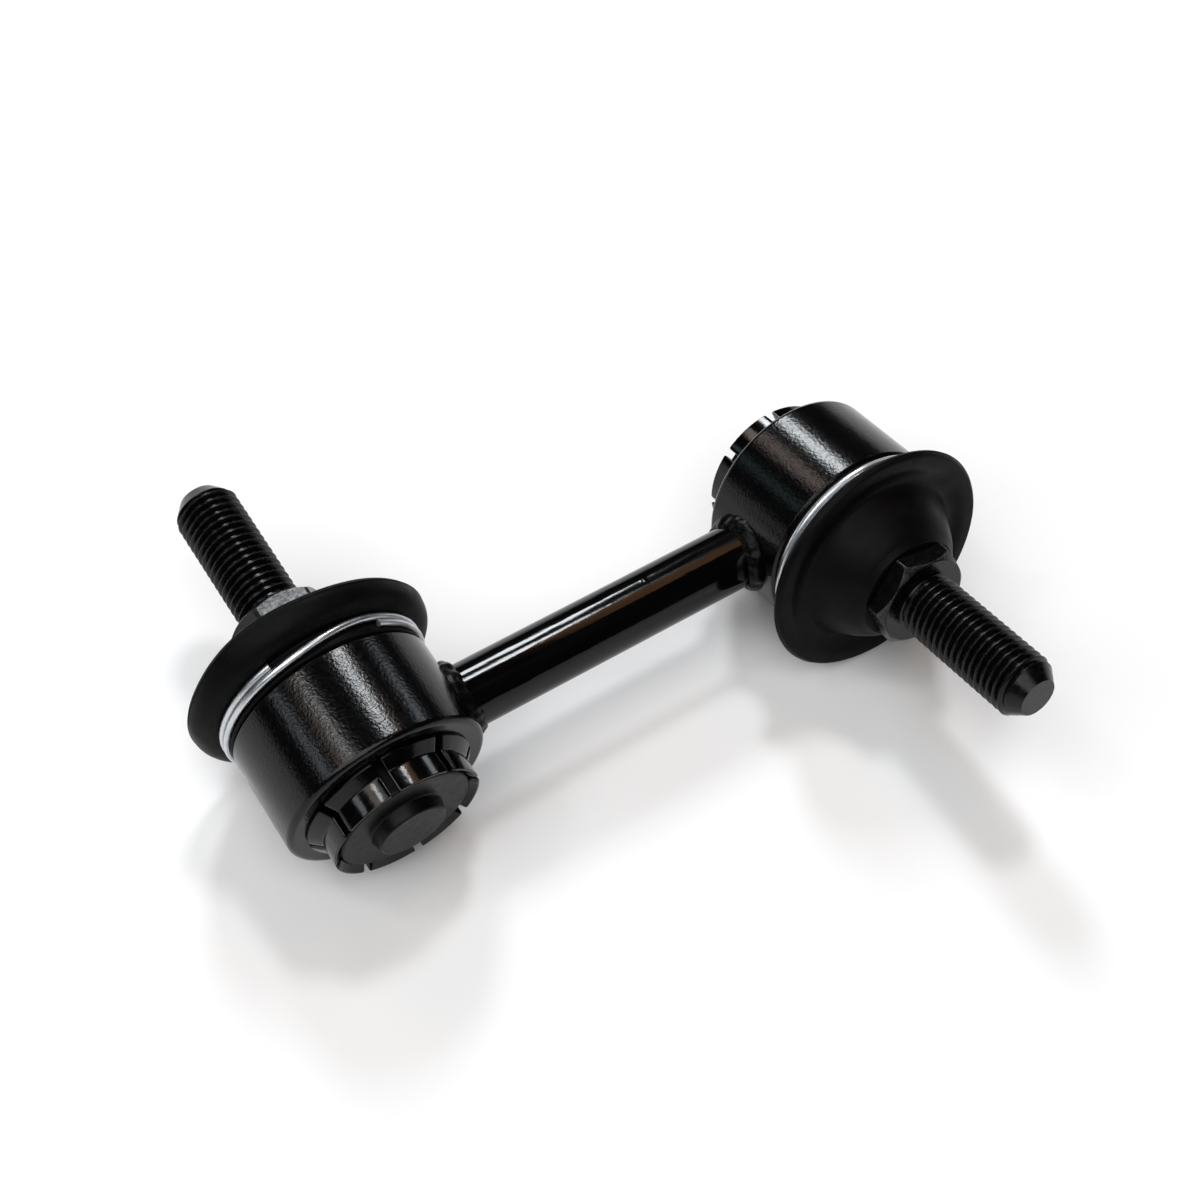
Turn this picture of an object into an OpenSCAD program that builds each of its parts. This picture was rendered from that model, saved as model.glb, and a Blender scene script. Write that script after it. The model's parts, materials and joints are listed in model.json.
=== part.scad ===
// Stabilizer link: a short rod with a ball joint welded to each end.
// X runs along the rod and Z is up. The link lies on its two boot rims, and the origin is
// under the middle of the rod. Each ball joint is drawn about its own ball centre, with its
// stud along +Z and the rod leaving along +X.

/* [Link] */
// Distance between the two ball centres
link_length = 81.6; // [65:0.1:112]
// Angle that each stud rises from level, turned about the rod
end_lift = 8.4; // [0:0.1:20]
// Diameter of the rod
rod_d = 10; // [8:0.1:12]

/* [Housing] */
// Outer diameter of the housing
housing_d = 31.5; // [30.5:0.1:35]
// Bore that the bearing snaps into
bore_d = 24.1; // [23:0.1:24.7]
// Distance of the plug face below the ball centre
housing_below = 7.6; // [7.1:0.1:9]
// Distance of the boot shoulder above the ball centre
housing_above = 8.7; // [8:0.1:10]
// Rounding of the outer edge of the plug face
edge_r = 0.9; // [0.3:0.1:1.5]
// Chamfer of the shoulder and of the ends of the bore
edge_chamfer = 0.4; // [0.2:0.1:0.6]
// Wall of the neck that the boot grips
neck_wall = 1.6; // [1.3:0.1:1.9]
// How far the neck's lip stands out to hold the boot on
neck_lip = 0.5; // [0.3:0.1:0.7]
// Height of the neck's lip
neck_lip_h = 0.7; // [0.5:0.1:1]

/* [Weld bead] */
// Leg of the bead along the rod
weld_rod_leg = 2.5; // [1.5:0.1:3.8]
// Leg of the bead up the housing
weld_housing_leg = 1.9; // [1:0.1:2.3]
// Ripples around the bead
weld_ripples = 20; // [12:1:30]
// Depth of a ripple as a share of the legs
weld_ripple = 0.1; // [0:0.01:0.15]

/* [Ball stud] */
// Diameter of the ball
ball_d = 15; // [14:0.1:15.7]
// Diameter of the neck next to the ball
waist_d = 8.6; // [7.5:0.1:9]
// Diameter of the journal that the boot seals on
journal_d = 10.1; // [9.4:0.1:10.5]
// Height of the taper from the neck to the journal
journal_taper_h = 1.7; // [1:0.1:2.8]
// Distance of the hex collar above the ball centre
hex_from = 19.4; // [18.8:0.1:22.5]
// Thickness of the hex collar
hex_h = 5; // [4:0.1:7]
// Width of the hex collar across its flats
hex_af = 14; // [13:0.1:16]
// Angle that the corners of the hex take off (degrees)
hex_chamfer_angle = 28; // [15:1:40]
// Nominal diameter of the threaded shank
thread_d = 10; // [8:0.1:12]
// Length of the shank from the hex collar to its tip
shank_length = 24.7; // [19:0.1:38]
// Fillet where the shank leaves the hex collar
root_fillet = 0.4; // [0.2:0.1:0.8]
// Length of the lead-in at the tip
tip_length = 2.6; // [1.5:0.1:4]
// Diameter of the flat at the tip
tip_flat_d = 6.2; // [4:0.1:7]
// Turn of the hex at end A (degrees)
hex_turn_a = 4; // [0:1:60]
// Turn of the hex at end B (degrees)
hex_turn_b = 52; // [0:1:60]

/* [Bearing] */
// Play between the ball and its seat
seat_play = 0.05; // [0.02:0.01:0.1]
// Play between pieces that are pressed together
press_play = 0.05; // [0.02:0.01:0.1]
// Angle from the stud to the edge of the seat (degrees)
mouth_angle = 60; // [58:1:66]
// Half angle of the open mouth above the seat (degrees)
mouth_flare = 25; // [24:0.5:26]
// How far the flange reaches out over the neck
flange_out = 0.9; // [0.6:0.1:1.4]
// Thickness of the flange
flange_t = 0.8; // [0.6:0.1:1.2]
// Number of snap fingers
finger_count = 8; // [6:1:10]
// Width of the slots between the fingers
slot_w = 1.2; // [0.8:0.1:1.8]
// Depth of the slots below the ball centre at their closed end
slot_from = 3.7; // [3:0.1:4.6]
// Wall of a finger
finger_wall = 1.7; // [1.4:0.1:2]
// How far the fingers stand out of the plug face
finger_reach = 4.6; // [4.3:0.1:5.2]
// How far the hooks reach out over the plug face
hook_out = 1; // [0.8:0.1:1.5]
// Height of the straight part of a hook
hook_h = 0.4; // [0.2:0.1:0.8]
// Height of the straight band at the fingertips
finger_band_h = 2.7; // [2:0.1:3]
// How far that band stays inside the bore
finger_band_in = 0.6; // [0.3:0.1:0.8]
// Flat left at the very tip of a finger
fingertip_flat = 0.3; // [0.2:0.1:0.5]
// Height of the bevel that leads the plug in between the fingertips
fingertip_bevel_h = 0.8; // [0.5:0.1:1.1]
// Radius of the grease pocket under the ball
pocket_r = 3.2; // [2:0.1:4.2]
// Angle of a slot at end A (degrees)
finger_turn_a = 35; // [0:1:45]
// Angle of a slot at end B (degrees)
finger_turn_b = 1; // [0:1:45]

/* [End plug] */
// Thickness of the plug's disc
plug_t = 2.4; // [2:0.1:2.8]
// How far the disc stands out past the fingertips
plug_proud = 0.2; // [0:0.1:0.5]
// Rounding of the disc's rim
plug_edge_r = 0.5; // [0.2:0.1:0.8]
// Diameter of the raised centre
boss_d = 11.2; // [7.5:0.1:13]
// Height of the raised centre
boss_h = 2; // [0.8:0.1:2.4]
// Wall of the skirt that keeps the fingers spread
skirt_wall = 0.8; // [0.6:0.1:1]
// Length of the skirt behind the disc
skirt_h = 3.7; // [2.5:0.1:4.2]

/* [Dust boot] */
// Diameter over the rim
boot_d = 38.8; // [37:0.1:41.5]
// Wall of the boot
boot_wall = 1.2; // [0.9:0.1:1.5]
// Wall of the sleeve under the clip ring
sleeve_wall = 0.8; // [0.6:0.1:1.2]
// Play between the boot and what it meets
boot_play = 0.15; // [0.1:0.01:0.25]
// Height of the bead below the clip ring
bead_h = 0.7; // [0.5:0.1:1.1]
// How far that bead stands out of the groove for the clip ring
bead_out = 0.65; // [0.5:0.05:0.8]
// Distance of the valley inside the rim
valley_in = 5.1; // [4.5:0.1:5.4]
// Depth of the valley below the rim
valley_depth = 1.2; // [0.6:0.1:1.5]
// Distance from the valley in to the shoulder of the boot's dome
dome_in = 2.6; // [1.5:0.1:3.2]
// Rounding of the rim
rim_r = 0.8; // [0.5:0.1:1]
// Radial thickness of the sealing lip
seal_wall = 2.8; // [2.4:0.1:3.3]

/* [Clip ring] */
// Diameter of the spring wire
wire_d = 1.1; // [0.8:0.05:1.3]
// Play between the wire and its groove, and between its turns
wire_play = 0.08; // [0.05:0.01:0.15]
// Angle along the ring where the single strand climbs from the lower to the upper turn (degrees)
wire_climb = 62; // [40:1:90]
// Angle where the wire starts at end A (degrees)
wire_turn_a = 303; // [0:1:360]
// Angle where the wire starts at end B (degrees)
wire_turn_b = 120; // [0:1:360]

/* [Neck ring] */
// Radial width of the ring in the boot's lip
neck_ring_w = 0.9; // [0.6:0.1:1.3]
// Height of the ring in the boot's lip
neck_ring_h = 1.1; // [0.8:0.1:1.5]
// Rubber left above the ring
neck_ring_cover = 0.8; // [0.6:0.1:1.2]

/* [Hidden] */
$fn = 96;
eps = 0.01;
curve_steps = 8;
arc_steps = 5;
wire_sides = 10;
wire_step = 8;
weld_steps = 80;
weld_crown_steps = 5;

black_paint = "#1c1c1e";
black_plastic = "#232325";
black_rubber = "#2b2b2c";
black_steel = "#2e2e32";
bright_wire = "#c9ccd0";

// Radii
rod_r = rod_d / 2;
housing_r = housing_d / 2;
bore_r = bore_d / 2;
neck_r = bore_r + neck_wall;
neck_lip_r = neck_r + neck_lip;
ball_r = ball_d / 2;
journal_r = journal_d / 2;
thread_r = thread_d / 2;
seat_r = ball_r + seat_play;
wire_r = wire_d / 2;

// Boot sleeve, clip ring groove and neck, upwards from the shoulder
groove_r = neck_lip_r + boot_play + sleeve_wall;
bead_r = groove_r + bead_out;
bead_from = housing_above + boot_play;
groove_from = bead_from + bead_h;
lower_turn_z = groove_from + wire_play + wire_r;
upper_turn_z = lower_turn_z + wire_d + wire_play;
groove_to = upper_turn_z + wire_r + wire_play;
neck_top = groove_to - 2 * boot_play;
wire_path_r = groove_r + wire_play + wire_r;

// Bearing and plug, downwards from the plug face
bearing_r = bore_r - press_play;
finger_in_r = bearing_r - finger_wall;
finger_band_r = bearing_r - finger_band_in;
hook_r = bore_r + hook_out;
flange_r = bore_r + flange_out;
cup_r = finger_in_r - skirt_wall - 2 * press_play;
hook_z = -housing_below - press_play;
tip_z = -housing_below - finger_reach;
plug_face_z = tip_z - plug_proud;
plug_back_z = plug_face_z + plug_t;
cup_floor_z = plug_back_z + press_play;
flange_top = neck_top + press_play + flange_t;

// Boot, upwards from the bearing's flange
boot_r = boot_d / 2;
valley_r = boot_r - valley_in;
valley_z = flange_top + 2 * boot_play + boot_wall;
rim_top = valley_z + valley_depth;
seal_r = journal_r + 2 * boot_play;
seal_out_r = seal_r + seal_wall;
seal_top = hex_from - 2 * boot_play;
neck_ring_top = seal_top - neck_ring_cover;

// A point at angle a on a circle
function on_circle(c, r, a) = [c[0] + r * cos(a), c[1] + r * sin(a)];
// Points of an arc, both ends included
function arc(c, r, from, to) = [for (i = [0:arc_steps]) on_circle(c, r, from + (to - from) * i / arc_steps)];
// Points of a cubic curve, without its last point
function curve(a, b, c, d) = [
    for (i = [0:curve_steps - 1])
        let (t = i / curve_steps, u = 1 - t)
            u^3 * a + 3 * u^2 * t * b + 3 * u * t^2 * c + t^3 * d
];

// Outline of the housing, from the plug end of the bore outwards and up
housing_outline = concat(
    [[bore_r, -housing_below + edge_chamfer], [bore_r + edge_chamfer, -housing_below]],
    arc([housing_r - edge_r, edge_r - housing_below], edge_r, -90, 0),
    [
        [housing_r, housing_above - edge_chamfer],
        [housing_r - edge_chamfer, housing_above],
        [neck_r, housing_above],
        [neck_r, neck_top - neck_lip_h - neck_lip],
        [neck_lip_r, neck_top - neck_lip_h],
        [neck_lip_r, neck_top - edge_chamfer],
        [neck_lip_r - edge_chamfer, neck_top],
        [bore_r + edge_chamfer, neck_top],
        [bore_r, neck_top - edge_chamfer]
    ]
);

// Outside of the boot, from its bead over the rim to the sealing lip
boot_outside = concat(
    [
        [neck_r + boot_play, bead_from],
        [bead_r - edge_chamfer, bead_from],
        [bead_r, bead_from + bead_h / 2],
        [bead_r - edge_chamfer, groove_from],
        [groove_r, groove_from],
        [groove_r, groove_to]
    ],
    curve(
        [groove_r + wire_r, groove_to],
        [boot_r - 3 * rim_r, groove_to],
        [boot_r, groove_to + rim_r],
        [boot_r, rim_top - rim_r]
    ),
    arc([boot_r - rim_r, rim_top - rim_r], rim_r, 0, 90),
    curve(
        [boot_r - 2 * rim_r, rim_top],
        [boot_r - 5 * rim_r, rim_top],
        [valley_r + 2 * rim_r, valley_z],
        [valley_r, valley_z]
    ),
    curve(
        [valley_r, valley_z],
        [valley_r - dome_in / 2, valley_z],
        [valley_r - dome_in, seal_top - boot_wall],
        [seal_out_r + boot_wall / 2, seal_top - boot_wall]
    ),
    [[seal_out_r, seal_top - boot_wall / 2], [seal_out_r - edge_chamfer, seal_top]]
);

// Inside of the boot, from the sealing lip back down to the bead
boot_inside = concat(
    [
        [seal_r, seal_top],
        [seal_r, neck_ring_top],
        [seal_r + neck_ring_w + 2 * boot_play, neck_ring_top],
        [seal_r + neck_ring_w + 2 * boot_play, neck_ring_top - neck_ring_h - 2 * boot_play],
        [seal_r, neck_ring_top - neck_ring_h - 2 * boot_play]
    ],
    curve(
        [seal_r, neck_ring_top - neck_ring_h - neck_ring_cover],
        [valley_r - dome_in - boot_wall, seal_top - 2 * boot_wall - neck_ring_cover],
        [valley_r - dome_in / 2 - boot_wall, valley_z - boot_wall],
        [valley_r - boot_wall, valley_z - boot_wall]
    ),
    [
        [valley_r, valley_z - boot_wall],
        [boot_r - 2 * boot_wall - rim_r, (rim_top + groove_to) / 2],
        [neck_lip_r + sleeve_wall + boot_play, neck_top + boot_wall],
        [neck_lip_r + boot_play, neck_top],
        [neck_lip_r + boot_play, neck_top - neck_lip_h - boot_play],
        [neck_r + boot_play, neck_top - neck_lip_h - neck_lip - boot_play]
    ]
);

// Height of the rod above the surface that the link lies on
function drop(outline) = max([for (p = outline) p[0] * cos(end_lift) - p[1] * sin(end_lift)]);
rod_z = max(drop(boot_outside), drop(housing_outline));

// Places a ball joint at end A or, turned half round, at end B
module end_a() {
    translate([-link_length / 2, 0, rod_z])
        rotate([end_lift - 90, 0, 0])
            children();
}
module end_b() {
    rotate([0, 0, 180])
        end_a()
            children();
}

// The rod, cut to the round of both housings
module rod() {
    color(black_paint)
        difference() {
            translate([-link_length / 2, 0, rod_z])
                rotate([0, 90, 0])
                    cylinder(h = link_length, r = rod_r);
            end_a() housing_round();
            end_b() housing_round();
        }
}

module housing_round() {
    cylinder(h = 4 * rod_r, r = housing_r + press_play, center = true);
}

// Ring with a through bore, a rounded plug face and a lipped neck for the boot
module housing() {
    color(black_paint)
        rotate_extrude()
            polygon(housing_outline);
}

// Rippled fillet around the rod where it meets the housing
module weld_bead() {
    root_r = rod_r + press_play;
    function wall_x(y) = sqrt((housing_r + press_play)^2 - y^2);
    function bead_point(out, along, a) =
        let (y = (root_r + out) * sin(a))
            [wall_x(y) + along, y, (root_r + out) * cos(a)];
    function swell(a) = 1 - weld_ripple * (1 + cos(weld_ripples * a)) / 2;
    function section(a) = concat(
        [bead_point(0, 0, a)],
        [
            for (i = [0:weld_crown_steps])
                let (c = 90 * i / weld_crown_steps)
                    bead_point(weld_housing_leg * swell(a) * cos(c), weld_rod_leg * swell(a) * sin(c), a)
        ]
    );
    color(black_paint)
        loop_solid([for (i = [0:weld_steps - 1]) section(360 * i / weld_steps)]);
}

// Ball, waist, journal, hex collar and shank with its lead-in
module ball_stud(hex_turn) {
    hex_to = hex_from + hex_h;
    tip_at = hex_to + shank_length;
    corner_r = hex_af / 2 / cos(30);
    corner_drop = (corner_r - hex_af / 2 + edge_chamfer) * tan(hex_chamfer_angle);
    color(black_steel) {
        sphere(r = ball_r);
        rotate_extrude()
            polygon(concat(
                [
                    [0, 0],
                    [waist_d / 2, 0],
                    [waist_d / 2, neck_top],
                    [journal_r, neck_top + journal_taper_h],
                    [journal_r, hex_from + eps],
                    [thread_r, hex_from + eps],
                    [thread_r, hex_to - eps],
                    [thread_r + root_fillet, hex_to - eps]
                ],
                arc([thread_r + root_fillet, hex_to + root_fillet], root_fillet, 270, 180),
                [
                    [thread_r, tip_at - tip_length],
                    [tip_flat_d / 2, tip_at],
                    [0, tip_at]
                ]
            ));
        intersection() {
            translate([0, 0, hex_from])
                rotate(hex_turn)
                    cylinder(h = hex_h, r = corner_r, $fn = 6);
            rotate_extrude()
                polygon([
                    [0, hex_from],
                    [hex_af / 2 - edge_chamfer, hex_from],
                    [corner_r, hex_from + corner_drop],
                    [corner_r, hex_to - corner_drop],
                    [hex_af / 2 - edge_chamfer, hex_to],
                    [0, hex_to]
                ]);
        }
    }
}

// Moulded ball seat with a ring of hooked fingers that snap over the plug face
module bearing(finger_turn) {
    mouth_z = seat_r * cos(mouth_angle);
    mouth_r = seat_r * sin(mouth_angle);
    mouth_h = flange_top - mouth_z + eps;
    color(black_plastic)
        difference() {
            rotate_extrude()
                polygon([
                    [0, cup_floor_z],
                    [cup_r, cup_floor_z],
                    [cup_r, -slot_from],
                    [finger_in_r, -slot_from],
                    [finger_in_r, tip_z + fingertip_bevel_h],
                    [finger_band_r - fingertip_flat, tip_z],
                    [finger_band_r, tip_z],
                    [finger_band_r, tip_z + finger_band_h],
                    [hook_r, hook_z - hook_h],
                    [hook_r, hook_z],
                    [bearing_r, hook_z],
                    [bearing_r, neck_top + press_play],
                    [flange_r, neck_top + press_play],
                    [flange_r, flange_top],
                    [0, flange_top]
                ]);
            sphere(r = seat_r);
            translate([0, 0, mouth_z])
                cylinder(h = mouth_h, r1 = mouth_r, r2 = mouth_r + mouth_h * tan(mouth_flare));
            translate([0, 0, cup_floor_z - eps])
                cylinder(h = -cup_floor_z, r = pocket_r);
            for (i = [0:finger_count - 1])
                rotate(finger_turn + 360 * i / finger_count)
                    translate([finger_in_r - skirt_wall / 2, -slot_w / 2, tip_z - eps])
                        cube([hook_r, slot_w, -slot_from - tip_z]);
        }
}

// Disc with a raised centre and a skirt behind it that keeps the fingers spread
module end_plug() {
    disc_r = finger_in_r - press_play;
    boss_z = plug_face_z - boss_h;
    color(black_plastic)
        rotate_extrude()
            polygon(concat(
                [[0, boss_z], [boss_d / 2 - plug_edge_r, boss_z]],
                arc([boss_d / 2 - plug_edge_r, boss_z + plug_edge_r], plug_edge_r, -90, 0),
                [[boss_d / 2, plug_face_z]],
                arc([disc_r - plug_edge_r, plug_face_z + plug_edge_r], plug_edge_r, -90, 0),
                [
                    [disc_r, plug_back_z + skirt_h],
                    [disc_r - skirt_wall, plug_back_z + skirt_h],
                    [disc_r - skirt_wall, plug_back_z],
                    [0, plug_back_z]
                ]
            ));
}

// Rubber boot: a sleeve on the neck, a wide rim, a valley and a dome up to the sealing lip
module dust_boot() {
    color(black_rubber)
        rotate_extrude()
            polygon(concat(boot_outside, boot_inside));
}

// Wire of nearly two turns in the boot's groove: a lower turn that climbs to an upper one
module clip_ring(wire_turn) {
    lower_turn = 360 - wire_climb;
    full_turn = 2 * lower_turn + wire_climb;
    function rise(a) = min(1, max(0, (a - lower_turn) / wire_climb));
    function height(a) = lower_turn_z + (upper_turn_z - lower_turn_z) * (1 - cos(180 * rise(a))) / 2;
    function section(a) = [
        for (i = [0:wire_sides - 1])
            let (p = on_circle([wire_path_r, height(a)], wire_r, 360 * i / wire_sides))
                [p[0] * cos(a + wire_turn), p[0] * sin(a + wire_turn), p[1]]
    ];
    color(bright_wire)
        tube_solid([for (i = [0:floor(full_turn / wire_step)]) section(i * wire_step)]);
}

// Ring moulded into the boot's lip, which holds it on the journal
module neck_ring() {
    color(black_steel)
        translate([0, 0, neck_ring_top - boot_play - neck_ring_h])
            difference() {
                cylinder(h = neck_ring_h, r = seal_r + boot_play + neck_ring_w);
                translate([0, 0, -eps])
                    cylinder(h = neck_ring_h + 2 * eps, r = seal_r + boot_play);
            }
}

// Triangles between each section and the next, where rows is the number of strips
function skin(sections, rows) =
    let (n = len(sections), m = len(sections[0]))
        [
            for (i = [0:rows - 1], j = [0:m - 1])
                let (k = (i + 1) % n, l = (j + 1) % m)
                    each [[i * m + j, k * m + j, k * m + l], [i * m + j, k * m + l, i * m + l]]
        ];
function flat(lists) = [for (l = lists) each l];

// Solid through a closed loop of sections
module loop_solid(sections) {
    polyhedron(flat(sections), skin(sections, len(sections)));
}

// Solid through an open row of sections, with flat ends
module tube_solid(sections) {
    m = len(sections[0]);
    last = (len(sections) - 1) * m;
    caps = [[for (j = [0:m - 1]) j], [for (j = [m - 1:-1:0]) last + j]];
    polyhedron(flat(sections), concat(skin(sections, len(sections) - 1), caps));
}

rod();
end_a() housing();  // housing_a
end_b() housing();  // housing_b
end_a() weld_bead();  // weld_bead_a
end_b() weld_bead();  // weld_bead_b
end_a() bearing(finger_turn_a);  // bearing_a
end_b() bearing(finger_turn_b);  // bearing_b
end_a() end_plug();  // end_plug_a
end_b() end_plug();  // end_plug_b
end_a() ball_stud(hex_turn_a);  // ball_stud_a
end_b() ball_stud(hex_turn_b);  // ball_stud_b
end_a() dust_boot();  // dust_boot_a
end_b() dust_boot();  // dust_boot_b
end_a() clip_ring(wire_turn_a);  // clip_ring_a
end_b() clip_ring(wire_turn_b);  // clip_ring_b
end_a() neck_ring();  // neck_ring_a
end_b() neck_ring();  // neck_ring_b
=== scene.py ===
# Stabilizer link: a painted rod with a ball joint welded to each end.
# Each ball joint is modelled in millimetres about its own ball centre, with the stud along +Z and
# the rod leaving along +X. Everything that reaches Blender is in metres, in the frame of the part.
import json
import math

import bmesh
import bpy
from mathutils import Matrix, Vector, noise

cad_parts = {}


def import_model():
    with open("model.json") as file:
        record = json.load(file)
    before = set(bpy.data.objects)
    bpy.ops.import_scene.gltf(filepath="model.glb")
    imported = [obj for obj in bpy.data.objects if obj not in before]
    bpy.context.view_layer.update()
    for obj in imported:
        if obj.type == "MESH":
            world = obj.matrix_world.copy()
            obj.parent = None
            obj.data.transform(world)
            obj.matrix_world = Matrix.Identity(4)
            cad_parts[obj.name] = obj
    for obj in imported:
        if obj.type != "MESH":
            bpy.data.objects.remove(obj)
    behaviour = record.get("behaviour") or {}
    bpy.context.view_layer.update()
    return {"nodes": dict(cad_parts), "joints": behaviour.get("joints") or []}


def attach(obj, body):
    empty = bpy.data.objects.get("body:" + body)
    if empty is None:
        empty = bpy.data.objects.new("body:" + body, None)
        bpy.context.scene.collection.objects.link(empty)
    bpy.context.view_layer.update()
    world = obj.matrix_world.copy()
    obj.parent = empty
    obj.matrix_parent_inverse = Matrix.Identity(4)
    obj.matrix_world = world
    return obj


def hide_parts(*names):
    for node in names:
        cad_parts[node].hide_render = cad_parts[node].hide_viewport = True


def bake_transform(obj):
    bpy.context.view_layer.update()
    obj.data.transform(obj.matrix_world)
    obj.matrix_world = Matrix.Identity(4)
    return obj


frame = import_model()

MM = 0.001
JOIN = 2e-7
JOINTS = {joint["name"]: joint for joint in frame["joints"]}

# Link
BALL_A = Vector(JOINTS["spin_a"]["pos_m"]) / MM
BALL_B = Vector(JOINTS["spin_b"]["pos_m"]) / MM
ROD_R = 5.0
ROD_RINGS = 240
ROD_SIDES = 160
PIMPLE_X = 7.6
PIMPLE_TURN = 83
PIMPLE_R = 0.3
PIMPLE_H = 0.12

# Housing, outwards from its bore
BORE_R = 12.05
HOUSING_R = 15.75
HOUSING_BELOW = 7.6
HOUSING_ABOVE = 8.7
FACE_EDGE = 0.9
NECK_R = 13.65
NECK_LIP_R = 14.15
NECK_TOP = 11.69
CHAMFER = 0.4

# Weld bead
WELD_ROD_LEG = 1.9
WELD_HOUSING_LEG = 1.35
WELD_RIPPLES = 19
WELD_SIDES = 288
WELD_STEPS = 14
WELD_SEED = {"a": 11.0, "b": 47.0}

# Ball stud, upwards from the ball
BALL_R = 7.5
WAIST_R = 4.3
JOURNAL_R = 5.05
JOURNAL_FROM = 13.39
HEX_FROM = 21.6
HEX_TO = 24.8
HEX_INNER_R = 7.25
HEX_CORNER = 0.6
HEX_CHAMFER = math.radians(42)
HEX_FACE_R = HEX_INNER_R - 0.15
HEX_TURN = {"a": 3.0, "b": 52.0}
# Lighter band along the hex collar's front edge: rubbed steel and a painted highlight.
HEX_EDGE_WEAR_AND_GLINT = 0.8
HEX_EDGE_MARK_SPAN = 0.05
THREAD_R = 5.0
THREAD_PITCH = 1.25
THREAD_DEPTH = 0.75
RUNOUT_R = 4.35
THREAD_FROM = 25.2
THREAD_FADE = 0.9
TIP_AT = 49.1
TIP_LENGTH = 2.6
TIP_FLAT_R = 3.09
TIP_RIM = 0.15
TIP_WEAR = 0.15
CREST_FLAT = 0.04
CREST_HALF = 0.075
CREST_DROP = 0.04
FLANK_SHARE = 0.3
# Share of the pitch at each crest painted lighter: rubbed steel and a painted highlight.
CREST_WEAR_AND_GLINT = 0.03
BALL_SWEEP = math.radians(146)
BALL_STEPS = 24

# Bearing and its fingers, downwards from the plug face
BEARING_R = 12.0
FINGERS = 8
FINGER_TURN = {"a": 35.0, "b": 1.0}
FINGER_IN_R = 10.3
FINGER_ROOT = -3.0
FINGER_TIP = -12.8
FINGER_BAND_R = 11.55
FINGER_BAND_TOP = -9.5
FINGERTIP_FLAT = 0.3
FINGERTIP_BEVEL = 0.8
HOOK_R = 13.05
HOOK_TOP = -7.65
HOOK_LOW = -8.05
SLOT_W = 1.2
FINGER_SOFT = 0.22
FINGER_STEPS = 20
CUP_R = 9.4
CUP_FLOOR = -9.95
CUP_TOP = -3.7
POCKET_R = 3.2
SEAT_R = 7.55
SEAT_EDGE = math.radians(60)
MOUTH_R = 10.63
FLANGE_R = 12.95
FLANGE_LOW = 11.74
FLANGE_TOP = 12.54

# End plug
PLUG_R = 10.25
PLUG_FACE = -12.4
PLUG_BACK = -10.0
PLUG_EDGE = -11.3
BOSS_R = 5.2
BOSS_DRAFT = 0.5
BOSS_H = 2.0
SKIRT_R = 9.95
SKIRT_WALL = 0.5
SKIRT_TOP = -6.3

# Dust boot
BOOT_R = 19.19
BEAD_LOW = 8.85
BEAD_TOP = 9.55
GROOVE_R = 15.1
GROOVE_TOP = 11.99
RIM_TOP = 15.24
RIM_EDGE = 0.75
VALLEY_R = 14.3
VALLEY_Z = 14.04
DOME_FOOT = 1.6
DOME_WALL_R = 11.75
DOME_WALL_Z = 18.5
DOME_R = 9.0
DOME_TOP = 20.6
DOME_SPLIT = 0.5
LIP_R = 8.35
LIP_TOP = 21.45
SPLIT_WALL = 0.6
HUB_R = 6.85
HUB_LOW = 16.6
HUB_LOW_R = 6.7
HUB_PLAY = 0.05
WALL_TOP = 18.7
SEAL_R = 5.35
RING_GROOVE_R = 6.55
RING_GROOVE_TOP = 18.3
RING_GROOVE_LOW = 16.9
BOOT_WALL = 1.15
RIM_SHIFT = {"a": 0.7, "b": -0.75}
RIM_WAVE = {"a": 0.9, "b": 0.0}
RIM_WAVE_AT = 239
RIM_WAVE_SPAN = 34
BOOT_SIDES = 192
BOOT_PLAY = 0.15
BOOT_LUMP = 0.16
BOOT_LUMP_SCALE = 0.09
BOOT_SOFT_SPAN = 1.5
BOOT_SEED = {"a": 3.0, "b": 8.0}
PARTING_OUT = 0.06
BEAD_CROWN = 0.35
SKIRT_FOOT = 0.9

# Clip ring
WIRE_R = 0.55
WIRE_PATH_R = 15.73
WIRE_LOW = 10.18
WIRE_HIGH = 11.36
WIRE_CLIMB = 62
WIRE_TURN = {"a": 303, "b": 120}
WIRE_SIDES = 20
WIRE_STEP = 3
WIRE_END = 0.12
WIRE_END_SHARE = 0.75

SEGMENTS = 160
BRACE = 0.04


# Outlines


def arc(centre, radius, start, end, steps=8):
    """Points of an arc in degrees, both ends included."""
    turn = [math.radians(start + (end - start) * i / steps) for i in range(steps + 1)]
    return [(centre[0] + radius * math.cos(a), centre[1] + radius * math.sin(a)) for a in turn]


def bezier(a, b, c, d, steps=14):
    """Points of a cubic curve, without its last point."""
    points = []
    for i in range(steps):
        t = i / steps
        u = 1 - t
        weights = (u**3, 3 * u * u * t, 3 * u * t * t, t**3)
        points.append(tuple(sum(w * p[k] for w, p in zip(weights, (a, b, c, d))) for k in (0, 1)))
    return points


def rounded(corners, closed=True, steps=5):
    """Outline through corners of (radius, height, fillet), each rounded by its own fillet.

    A point next to each end of a fillet keeps smooth shading from bending the straight parts.
    """
    points = []
    count = len(corners)
    for i, (x, y, fillet) in enumerate(corners):
        here = Vector((x, y))
        if fillet == 0 or (not closed and i in (0, count - 1)):
            points.append((x, y))
            continue
        before = (Vector(corners[i - 1][:2]) - here).normalized()
        after = (Vector(corners[(i + 1) % count][:2]) - here).normalized()
        half = before.angle(after) / 2
        centre = here + (before + after).normalized() * fillet / math.sin(half)
        reach = fillet / math.tan(half)
        start = here + before * reach - centre
        end = here + after * reach - centre
        points.append(tuple(here + before * (reach + BRACE)))
        for k in range(steps + 1):
            spoke = start.slerp(end, k / steps).normalized() * fillet
            points.append(tuple(centre + spoke))
        points.append(tuple(here + after * (reach + BRACE)))
    return points


# Meshes


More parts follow.
